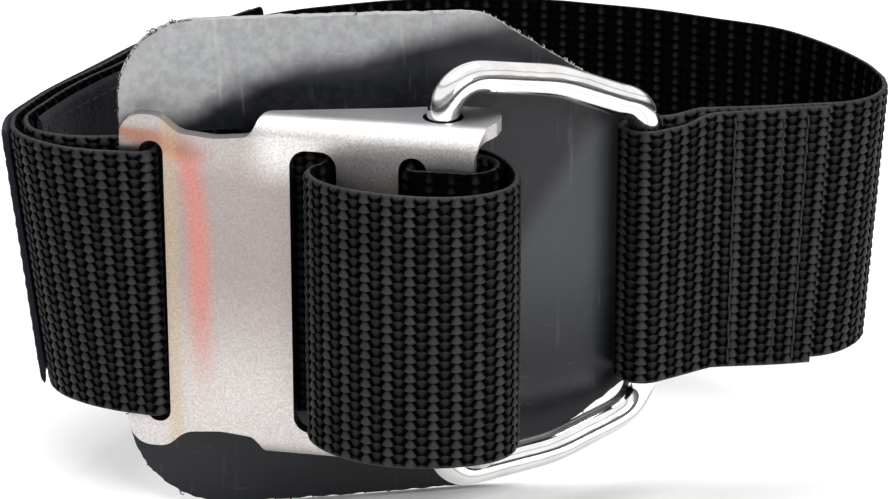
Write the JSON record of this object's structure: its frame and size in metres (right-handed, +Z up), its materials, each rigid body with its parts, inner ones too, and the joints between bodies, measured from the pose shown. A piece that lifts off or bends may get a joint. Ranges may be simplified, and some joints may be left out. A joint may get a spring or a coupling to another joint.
{
  "type": "dive cylinder cam band",
  "caption": "Black nylon webbing ring with a slotted steel cam plate, a bent wire bail, sewn fold, hook-and-loop tail and a rubber friction pad, for strapping a diving cylinder.",
  "frame": {"origin": "centre of the part's bounding box at rest, at half the webbing's width", "axes": "+Z up along the cylinder the band goes round, +X to the right of the buckle seen from outside, +Y from the buckle towards the back of the ring"},
  "size_m": [0.1614, 0.113, 0.0924],
  "materials": {
    "nylon_webbing": "coarse satin weave",
    "thread": "twisted, satin",
    "hook_and_loop": "fuzzy pile",
    "blasted_steel": "bead blasted, edges polished",
    "polished_wire": "polished",
    "pad_rubber": "glossy, scuffed"
  },
  "bodies": {
    "band": {"main_webbing": "nylon_webbing", "fold_stitch_inner": "thread", "fold_stitch_middle": "thread", "fold_stitch_outer": "thread", "loop_patch": "hook_and_loop", "loop_patch_seam": "thread"},
    "bail": {"wire_bail": "polished_wire"},
    "cam_lever": {"cam_plate": "blasted_steel", "woven_webbing": "nylon_webbing"},
    "tail_front": {"tail_webbing_front": "nylon_webbing"},
    "tail_end": {"tail_webbing_end": "nylon_webbing", "hook_patch": "hook_and_loop", "hook_patch_seam": "thread"},
    "pad": {"friction_pad": "pad_rubber"}
  },
  "joints": [
    {"name": "bail_swing", "type": "hinge", "parent": "band", "child": "bail", "pos_m": [0.03471, -0.01421, 0], "axis": [0, 0, 1], "range_deg": [0, 10]},
    {"name": "lever_open", "type": "hinge", "parent": "bail", "child": "cam_lever", "pos_m": [-0.00158, -0.03456, 0], "axis": [0, 0, 1], "range_deg": [0, 100]},
    {"name": "tail_lift", "type": "hinge", "parent": "cam_lever", "child": "tail_front", "pos_m": [-0.05671, -0.03319, 0], "axis": [0, 0, 1], "range_deg": [0, 90]},
    {"name": "tail_peel", "type": "hinge", "parent": "tail_front", "child": "tail_end", "pos_m": [-0.07723, -0.02047, 0], "axis": [0, 0, 1], "range_deg": [0, 100]},
    {"name": "pad_slide", "type": "slide", "parent": "band", "child": "pad", "axis": [0.9848, -0.1736, 0], "range_m": [-0.001, 0.001]}
  ],
  "couplings": [
    {"joint": "bail_swing", "follows": "lever_open", "ratio": 0.1}
  ]
}
